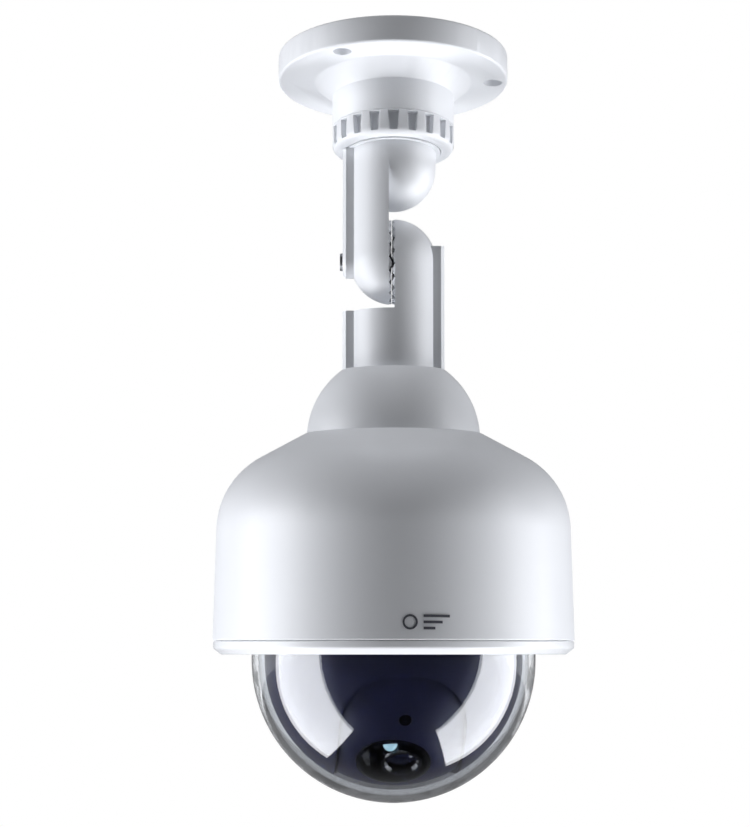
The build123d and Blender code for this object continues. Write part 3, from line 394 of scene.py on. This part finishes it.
@dataclass(frozen=True)
class Banded(Finish):
    """A sleeve in two tones, in bands across the X direction."""

    other: str = "c9a227"
    first: float = 0.0
    pitch_mm: float = 50.0
    share: float = 0.5
    wrinkle_mm: float = 1.4

    def surface(
        self,
        tree: bpy.types.NodeTree,
        shader: bpy.types.Node,
        place: bpy.types.NodeSocket,
    ) -> None:
        """Bands of two tones, with the slight wrinkle of shrunk film."""
        split = add_node(tree, "ShaderNodeSeparateXYZ", {"Vector": place})
        count = add_node(
            tree,
            "ShaderNodeMath",
            {0: split.outputs["X"], 1: per_mm(self.pitch_mm), 2: self.first},
            operation="MULTIPLY_ADD",
        )
        part = add_node(
            tree, "ShaderNodeMath", {0: count.outputs["Value"]}, operation="FRACT"
        )
        band = add_node(
            tree,
            "ShaderNodeMath",
            {0: part.outputs["Value"], 1: self.share},
            operation="LESS_THAN",
        )
        tone = add_node(
            tree,
            "ShaderNodeMix",
            {0: band.outputs["Value"], 6: linear(self.colour), 7: linear(self.other)},
            data_type="RGBA",
        )
        film = add_node(
            tree,
            "ShaderNodeTexNoise",
            {"Vector": place, "Scale": per_mm(self.wrinkle_mm), "Detail": 2.0},
        )
        relief = add_node(
            tree,
            "ShaderNodeBump",
            {"Height": film.outputs["Fac"], "Strength": 0.4, "Distance": 0.05 * MM},
        )
        tree.links.new(tone.outputs[2], shader.inputs["Base Color"])
        tree.links.new(relief.outputs["Normal"], shader.inputs["Normal"])


class Finishes(Enum):
    """Every finish on the object, with what each gives the eye."""

    # ABS off a finely sparked mould: satin, so side lights spread into broad soft highlights.
    # The spark grain is 0.1 mm, drawn at 0.7 mm because finer would not show.
    WHITE_ABS = Moulded("satin_white_abs", "eceef1", 0.36, 1.52, shade="e6e8ec")
    # The ring comes from a polished mould, so its edges flash brighter than the bell.
    TRIM_ABS = Moulded("glossy_white_abs", "f3f5f8", 0.22, 1.52, shade="eef0f4", grain_mm=1.1)
    # Black ABS, finely sparked: a deep blue-black, with the lamps' reflections spread wide.
    BLACK_ABS = Moulded(
        "smooth_black_abs", "20224a", 0.42, 1.52, shade="242650", grain_depth=0.008
    )
    # High gloss black of the lens mount, darker and sharper than the drum round it.
    BLACK_GLOSS = Moulded(
        "gloss_black_abs", "0b0b18", 0.1, 1.52, shade="0e0f1e", grain_depth=0.004, coat=0.6
    )
    # Zinc on steel with a clear passivation: cool grey, a little cloudy from the barrel.
    ZINC_STEEL = Plated("zinc_plated_steel", "b9bcc0", 0.34, metallic=1.0)
    # Nickelled spring wire and strip: warmer than zinc, with finer marks from drawing.
    SPRING_STEEL = Plated(
        "nickelled_spring_steel", "c8c3b6", 0.25, metallic=1.0, shade="a9a498", mark_mm=0.2
    )
    # Vulcanised fibre: matt, dull red-brown, with fibres that show as mottle.
    FIBRE = Moulded(
        "vulcanised_fibre", "6b3a2a", 0.7, 1.53, shade="7d4a35", drift_mm=2.2, grain_mm=0.4
    )
    # Rubber cord: matt and soft at its edges, painted near black as the shade it sits in behind
    # the dome.
    GASKET = Moulded("rubber_painted_shade_dark", "191a1f", 0.6, 1.52, shade="1f2025")
    # Cast acrylic with a hard coat: clear, so it shows by its reflections and its edge.
    CLEAR_DOME = Clear("hard_coated_acrylic", "f4f7fb", 0.0, 1.49, smear=0.015, coat=1.0)
    # Ground and polished crown glass with a coating that leaves a bluish-violet cast.
    OPTIC = Clear("coated_optical_glass", "6a72a8", 0.0, 1.52, transmission=0.85, smear=0.01)
    # Water-clear epoxy of a 5 mm lamp; its pale cyan tint and glow are a painted highlight, not
    # light from its chip.
    LED_RESIN = Resin("clear_lamp_epoxy", "bfe6f2", 0.12, 1.54, 0.0, 0.35, painted_highlight_strength=0.3)
    # Green solder mask on glass-fibre board, glossy, with the tracks standing through it.
    BOARD = Laminate("masked_fibreglass_board", "1c4f2c", 0.28, 1.5)
    # Transfer-moulded epoxy of a chip: matt charcoal with fine speckle.
    COMPONENT_BLACK = Moulded(
        "chip_epoxy", "1b1b1d", 0.5, 1.55, shade="26262a", drift_mm=0.5, grain_mm=0.3
    )
    # Shrunk PVC sleeve of an electrolytic capacitor: a pale stripe down a dark sleeve.
    CAPACITOR_SLEEVE = Banded(
        "capacitor_sleeve", "23304f", 0.3, 1.52, other="c6ccd6", pitch_mm=5.2, share=0.22
    )
    # Printed film shrunk on a dry cell: dark body and a copper-coloured shoulder.
    CELL_SLEEVE = Banded(
        "cell_film", "2a2c31", 0.24, 1.5, other="b5793a", pitch_mm=60.0, share=0.3, first=0.86
    )
    # Soft PVC insulation: satin, slightly translucent.
    LEAD_RED_PVC = Moulded("red_pvc", "b3201f", 0.38, 1.53, shade="a31b1b", subsurface=0.1)
    LEAD_BLACK_PVC = Moulded("black_pvc", "141415", 0.4, 1.53, shade="1b1b1c")
    # Pad-printed ink: flat, matt and a little broken where the pad lifted.
    INK = Moulded("pad_printed_ink", "4a4b52", 0.6, 1.5, shade="5b5c63", drift_mm=1.2)


# ---------------------------------------------------------------- mesh work


def deselect() -> None:
    """Clear the selection, because an operator acts on all that is selected."""
    if bpy.context.mode != "OBJECT":
        bpy.ops.object.mode_set(mode="OBJECT")
    bpy.ops.object.select_all(action="DESELECT")


def pick(piece: bpy.types.Object) -> None:
    """Make one object the only one selected, and the active one."""
    deselect()
    piece.select_set(True)
    bpy.context.view_layer.objects.active = piece


def settle(piece: bpy.types.Object, place: Matrix) -> bpy.types.Object:
    """Put a finished mesh in a frame, with its place in its points."""
    piece.matrix_world = place @ piece.matrix_world
    pick(piece)
    bpy.ops.object.transform_apply(location=True, rotation=True, scale=True)
    return piece


def modify(piece: bpy.types.Object, kind: str, **settings: object) -> None:
    """Add a modifier with its settings, and apply it."""
    pick(piece)
    bpy.ops.object.modifier_add(type=kind)
    made = piece.modifiers[-1]
    for name, value in settings.items():
        setattr(made, name, value)
    bpy.ops.object.modifier_apply(modifier=made.name)


def smooth(piece: bpy.types.Object, angle: float) -> None:
    """Shade smooth, apart from edges sharper than an angle in degrees."""
    pick(piece)
    bpy.ops.object.shade_smooth_by_angle(angle=radians(angle))


def merged_copy(source: str, name: str) -> bpy.types.Object:
    """Copy a CAD node as one connected mesh with whole flat faces.

    Args:
        source: The CAD node's name.
        name: The copy's name.

    Returns:
        The copy, with a mesh of its own.
    """
    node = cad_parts[source]
    copy = bpy.data.objects.new(name, node.data.copy())
    copy.data.name = name
    copy.data.materials.clear()
    bpy.context.scene.collection.objects.link(copy)
    pick(copy)
    bpy.ops.object.mode_set(mode="EDIT")
    bpy.ops.mesh.select_all(action="SELECT")
    bpy.ops.mesh.remove_doubles(threshold=WELD)
    bpy.ops.mesh.dissolve_limited(angle_limit=FLAT)
    bpy.ops.object.mode_set(mode="OBJECT")
    return copy


def broken_edges(source: str, name: str, width_mm: float, angle: float = 38.0) -> bpy.types.Object:
    """Copy a CAD node and break its sharp edges, as a mould's worn steel does.

    Args:
        source: The CAD node's name.
        name: The copy's name.
        width_mm: Width of the broken edge.
        angle: Edges sharper than this many degrees are broken.

    Returns:
        The copy, in the CAD node's place.
    """
    copy = merged_copy(source, name)
    modify(
        copy,
        "BEVEL",
        width=width_mm * MM,
        segments=2,
        limit_method="ANGLE",
        angle_limit=radians(angle),
        use_clamp_overlap=True,
        harden_normals=False,
    )
    smooth(copy, SHADED_AS_ONE)
    return copy


def dress(piece: bpy.types.Object, finish: Finishes) -> None:
    """Give a piece one finish all over."""
    piece.data.materials.clear()
    piece.data.materials.append(finish.value.material())


def redress(nodes: Iterable[str], finish: Finishes) -> None:
    """Give carried-over CAD nodes a finish."""
    for name in nodes:
        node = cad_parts[name]
        if not node.data.materials:
            node.data.materials.append(None)
        for at in range(len(node.material_slots)):
            node.material_slots[at].material = finish.value.material()
        LOG.info("node %s: %s", name, finish.value.name)


def fit(
    piece: bpy.types.Object, body: str, finish: Finishes, stands_for: Sequence[str] = ()
) -> bpy.types.Object:
    """Dress a new piece, ride it on its body and report it.

    Args:
        piece: The finished mesh.
        body: The CAD body that it moves with.
        finish: What it is made of.
        stands_for: CAD nodes that it replaces.

    Returns:
        The piece.
    """
    dress(piece, finish)
    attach(piece, body)
    if stands_for:
        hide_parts(*stands_for)
    LOG.info("piece %s on %s: %d faces", piece.name, body, len(piece.data.polygons))
    return piece


# ---------------------------------------------------------------- sub-assemblies


@dataclass
class Bracket:
    """Mounting base, ring nut and the two arms that meet at the toothed hinge."""

    edge_mm: float = 0.25

    def build(self) -> None:
        """Break the edges of the mouldings, and dress the hinge's metal."""
        base = broken_edges("mount_base", "ceiling_base", self.edge_mm)
        fit(base, "base", Finishes.WHITE_ABS, ["mount_base"])
        nut = broken_edges("ring_nut", "castellated_nut", self.edge_mm)
        fit(nut, "nut", Finishes.WHITE_ABS, ["ring_nut"])
        redress(["upper_arm", "lower_arm"], Finishes.WHITE_ABS)
        redress(["friction_washer"], Finishes.FIBRE)
        redress(
            ["flat_washer", "hinge_bolt", "hinge_nut", "arm_washer", "arm_screw"],
            Finishes.ZINC_STEEL,
        )
        redress(["spring_washer"], Finishes.SPRING_STEEL)


@dataclass
class Mark:
    """A plain printed sign on the bell: a ring with three bars beside it."""

    ring_r: float = 2.6 * MM
    ring_w: float = 0.7 * MM
    bars: Sequence[float] = (9.0 * MM, 6.5 * MM, 4.0 * MM)
    bar_h: float = 0.9 * MM
    bar_gap: float = 2.1 * MM
    ring_gap: float = 2.0 * MM
    drop: float = -129.4 * MM
    stand_off: float = 80.0 * MM
    turn: float = 7.0
    film: float = 0.12 * MM

    def build(self, surface: bpy.types.Object) -> bpy.types.Object:
        """Lay the sign out flat in front of the bell, then press it on.

        Args:
            surface: The bell's mesh, which the print lies on.

        Returns:
            The sign, with its place in its points.
        """
        deselect()
        bpy.ops.mesh.primitive_circle_add(vertices=64, radius=self.ring_r, location=(0, 0, 0))
        ring = bpy.context.active_object
        bpy.ops.object.mode_set(mode="EDIT")
        bpy.ops.mesh.select_all(action="SELECT")
        bpy.ops.mesh.extrude_edges_move()
        inner = (self.ring_r - self.ring_w) / self.ring_r
        bpy.ops.transform.resize(value=(inner, inner, 1))
        bpy.ops.object.mode_set(mode="OBJECT")
        ring.location.x = -self.ring_r - self.ring_gap
        parts = [ring]
        for step, length in enumerate(self.bars):
            bpy.ops.mesh.primitive_grid_add(
                x_subdivisions=14, y_subdivisions=2, size=1, location=(0, 0, 0)
            )
            bar = bpy.context.active_object
            bar.scale = (length, self.bar_h, 1)
            bar.location = (length / 2, (1 - step) * self.bar_gap, 0)
            parts.append(bar)
        deselect()
        for part in parts:
            part.select_set(True)
        bpy.context.view_layer.objects.active = ring
        bpy.ops.object.join()
        sign = bpy.context.active_object
        sign.name = sign.data.name = "printed_sign"
        bpy.ops.object.transform_apply(location=True, rotation=True, scale=True)
        place = HEAD @ Matrix.Rotation(radians(self.turn), 4, "Z")
        place @= Matrix.Translation((0, -self.stand_off, self.drop))
        settle(sign, place @ Matrix.Rotation(radians(90), 4, "X"))
        modify(
            sign,
            "SHRINKWRAP",
            target=surface,
            wrap_method="PROJECT",
            wrap_mode="ABOVE_SURFACE",
            use_project_y=True,
            use_positive_direction=True,
            offset=self.film,
        )
        modify(sign, "SOLIDIFY", thickness=self.film, offset=0)
        return sign


@dataclass
class Bell:
    """The neck cap, the bell under it and the trim ring round its mouth."""

    mark: Mark = field(default_factory=Mark)

    def build(self) -> None:
        """Dress the shells and print the sign on the bell's front."""
        redress(["neck_cap", "bell_housing"], Finishes.WHITE_ABS)
        redress(["trim_ring"], Finishes.TRIM_ABS)
        redress(["cap_screws", "carrier_screws"], Finishes.ZINC_STEEL)
        sign = self.mark.build(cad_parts["bell_housing"])
        fit(sign, "head", Finishes.INK)


@dataclass
class Dome:
    """Clear dome on its gasket, and the black carrier and turret behind it."""

    edge_mm: float = 0.25

    def build(self) -> None:
        """Dress the pieces round the dome, with a broken edge on the shroud's window."""
        shroud = broken_edges("inner_shroud", "windowed_shroud", self.edge_mm)
        fit(shroud, "turret", Finishes.BLACK_ABS, ["inner_shroud"])
        redress(["dome_cover"], Finishes.CLEAR_DOME)
        # The gasket's near black finish is painted shade, not the cord's own colour.
        redress(["dome_gasket"], Finishes.GASKET)
        redress(["turret_carrier", "turret_frame"], Finishes.BLACK_ABS)
        redress(["shroud_screws", "pivot_screws"], Finishes.ZINC_STEEL)


@dataclass
class Eye:
    """The lens drum with its bezel, barrel, glass, lamp and board."""

    edge_mm: float = 0.25

    def build(self) -> None:
        """Break the drum's edges, and dress the eye and its electronics."""
        drum = broken_edges("lens_drum", "edged_drum", self.edge_mm)
        fit(drum, "drum", Finishes.BLACK_ABS, ["lens_drum"])
        redress(
            ["lens_bezel", "lens_barrel", "lens_retainer", "sensor_window"], Finishes.BLACK_GLOSS
        )
        redress(["lens_glass"], Finishes.OPTIC)
        redress(["led_lamp"], Finishes.LED_RESIN)
        redress(["led_board"], Finishes.BOARD)
        redress(["timer_chip", "board_resistors"], Finishes.COMPONENT_BLACK)
        redress(["board_capacitor"], Finishes.CAPACITOR_SLEEVE)
        redress(["board_screws"], Finishes.ZINC_STEEL)


@dataclass
class Power:
    """Battery holder, cells, springs, switch and leads on the bell's roof."""

    def build(self) -> None:
        """Dress the power side."""
        redress(["battery_holder", "switch_body", "switch_slider"], Finishes.BLACK_ABS)
        redress(["battery_cells"], Finishes.CELL_SLEEVE)
        redress(["battery_springs", "battery_contacts"], Finishes.SPRING_STEEL)
        redress(["holder_screws"], Finishes.ZINC_STEEL)
        redress(["lead_socket"], Finishes.WHITE_ABS)
        redress(["lead_red"], Finishes.LEAD_RED_PVC)
        redress(["lead_black"], Finishes.LEAD_BLACK_PVC)


# ---------------------------------------------------------------- studio


@dataclass
class Panel:
    """One soft light panel, aimed at a point.

    The bearing is in degrees from the front, to the right of it where positive, and the roll
    turns the panel about the line to its target.
    """

    name: str
    bearing: float
    rise: float
    distance: float
    width: float
    height: float
    power: float
    roll: float = 0.0
    seen_in_gloss: bool = True
    seen_in_matt: bool = True
    colour: str = "fbfcff"

    def hang(self, target: Vector) -> None:
        """Put the panel in its place, facing the target."""
        turn, rise = radians(self.bearing), radians(self.rise)
        away = Vector((sin(turn) * cos(rise), -cos(turn) * cos(rise), sin(rise)))
        data = bpy.data.lights.new(self.name, "AREA")
        data.shape = "RECTANGLE"
        data.size, data.size_y = self.width, self.height
        data.energy = self.power
        data.color = linear(self.colour)[:3]
        lamp = bpy.data.objects.new(self.name, data)
        lamp.location = target + away * self.distance
        twist = Matrix.Rotation(radians(self.roll), 3, "Z")
        lamp.rotation_euler = (away.to_track_quat("Z", "Y").to_matrix() @ twist).to_euler()
        lamp.visible_camera = False
        lamp.visible_glossy = self.seen_in_gloss
        lamp.visible_transmission = self.seen_in_gloss
        lamp.visible_diffuse = self.seen_in_matt
        bpy.context.scene.collection.objects.link(lamp)
        LOG.info("light %s", self.name)


@dataclass
class Studio:
    """White room, pale floor, soft panels and the camera.

    The target is the middle of the object, and the eye is where the camera stands.
    """

    floor_drop: float = 1.3
    floor_size: float = 3.0
    target: Vector = field(default_factory=lambda: Vector((0, 0.02, -0.177)))
    eye: Sequence[float] = (-6.7 * MM, -981 * MM, -379.3 * MM)
    pitch: float = 13.9
    roll: float = 0.0
    lens: float = 122.0
    soft_distance: float = 1.3
    soft_size: tuple[float, float] = (0.5, 0.7)
    room_share: float = 0.16

    def panels(self) -> list[Panel]:
        """The light panels: soft ones round the object, and two low ones that the dome shows."""
        away, (width, height) = self.soft_distance, self.soft_size
        soft = [
            Panel(name, bearing, rise, away, width, height, power, seen_in_gloss=False)
            for name, bearing, rise, power in (
                ("high_left", -75, 20, 11.0),
                ("mid_left", -95, -15, 3.2),
                ("under_left", -95, -50, 13.0),
                ("high_right", 77, 20, 9.0),
                ("mid_right", 95, -10, 2.2),
                ("under_right", 95, -50, 14.5),
            )
        ]
        return [
            *soft,
            Panel("front_under", 0, -60, away, 0.7, 0.7, 2.4, seen_in_gloss=False),
            Panel("low_left", -88, -21.4, 1.0, 0.91, 1.57, 18.5, -10.9, seen_in_matt=False),
            Panel("low_right", 97, -27, 1.0, 0.82, 1.4, 14.5, 5.0, seen_in_matt=False),
        ]

    def build(self) -> None:
        """Set the room, the lights and the camera."""
        scene = bpy.context.scene
        scene.view_settings.view_transform = "Standard"
        self.room(scene)
        self.floor()
        for panel in self.panels():
            panel.hang(self.target)
        # The last panel faces down at the floor and lights nothing else.
        wash = Panel("floor_wash", 0, 90, 0.9, 5.0, 5.0, 110.0, seen_in_gloss=False)
        wash.hang(Vector((0, 0, -self.floor_drop)))
        self.camera(scene)

    def room(self, scene: bpy.types.Scene) -> None:
        """White to look at, and above the floor also through the dome, but weak as a light."""
        world = bpy.data.worlds.new("white_room")
        scene.world = world
        world.use_nodes = True
        tree = world.node_tree
        tree.nodes.clear()
        way = add_node(tree, "ShaderNodeTexCoord").outputs["Generated"]
        split = add_node(tree, "ShaderNodeSeparateXYZ", {"Vector": way})
        # As a light the room is brightest behind the object and above it.
        lean = add_node(
            tree,
            "ShaderNodeMath",
            {0: split.outputs["Z"], 1: 0.45, 2: split.outputs["Y"]},
            operation="MULTIPLY_ADD",
        )
        level = add_node(
            tree,
            "ShaderNodeMapRange",
            {
                "Value": lean.outputs["Value"],
                "From Min": -0.3,
                "From Max": 0.45,
                "To Min": 0.04,
                "To Max": 0.95,
            },
            interpolation_type="SMOOTHSTEP",
        )
        path = add_node(tree, "ShaderNodeLightPath")
        power = add_node(
            tree,
            "ShaderNodeMath",
            {0: level.outputs["Result"], 1: self.room_share},
            operation="MULTIPLY",
        )
        lit = add_node(
            tree,
            "ShaderNodeBackground",
            {"Color": linear("fbfcff"), "Strength": power.outputs["Value"]},
        )
        plain = add_node(
            tree, "ShaderNodeBackground", {"Color": linear("ffffff"), "Strength": 1.0}
        )
        upward = add_node(
            tree, "ShaderNodeMath", {0: split.outputs["Z"], 1: 0.0}, operation="GREATER_THAN"
        )
        seen = add_node(
            tree,
            "ShaderNodeMath",
            {
                0: path.outputs["Is Transmission Ray"],
                1: upward.outputs["Value"],
                2: path.outputs["Is Camera Ray"],
            },
            operation="MULTIPLY_ADD",
        ).outputs["Value"]
        mixed = add_node(
            tree,
            "ShaderNodeMixShader",
            {0: seen, 1: lit.outputs["Background"], 2: plain.outputs["Background"]},
        )
        add_node(tree, "ShaderNodeOutputWorld", {"Surface": mixed.outputs["Shader"]})

    def floor(self) -> None:
        """A pale matt floor, well below the hanging object and seen only directly."""
        deselect()
        bpy.ops.mesh.primitive_circle_add(
            vertices=96,
            radius=self.floor_size,
            fill_type="NGON",
            location=(0, 0, -self.floor_drop),
        )
        ground = bpy.context.active_object
        ground.name = ground.data.name = "studio_floor"
        bpy.ops.object.transform_apply(location=True, rotation=True, scale=True)
        paper = Moulded(
            "matt_paper", "f2f2f0", 0.9, 1.45, shade="efefed", drift_mm=400, grain_mm=4.0
        )
        ground.data.materials.append(paper.material())
        ground.visible_glossy = ground.visible_diffuse = ground.visible_transmission = False
        ground.visible_shadow = False

    def camera(self, scene: bpy.types.Scene) -> None:
        """Look up at the object from in front and a little below it."""
        data = bpy.data.cameras.new("view")
        data.lens = self.lens
        data.sensor_width = 36.0
        data.clip_start, data.clip_end = 0.01, 50.0
        eye = bpy.data.objects.new("view", data)
        turn = Matrix.Rotation(radians(90 + self.pitch), 4, "X")
        twist = Matrix.Rotation(radians(self.roll), 4, "Z")
        eye.matrix_world = Matrix.Translation(self.eye) @ turn @ twist
        scene.collection.objects.link(eye)
        scene.camera = eye


def main() -> None:
    """Build each sub-assembly in order, then the studio."""
    logging.basicConfig(level=logging.INFO, format="%(message)s")
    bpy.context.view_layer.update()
    for assembly in (Bracket(), Bell(), Dome(), Eye(), Power()):
        assembly.build()
        LOG.info("built %s", type(assembly).__name__)
    Studio().build()
    deselect()


if __name__ == "__main__":
    main()
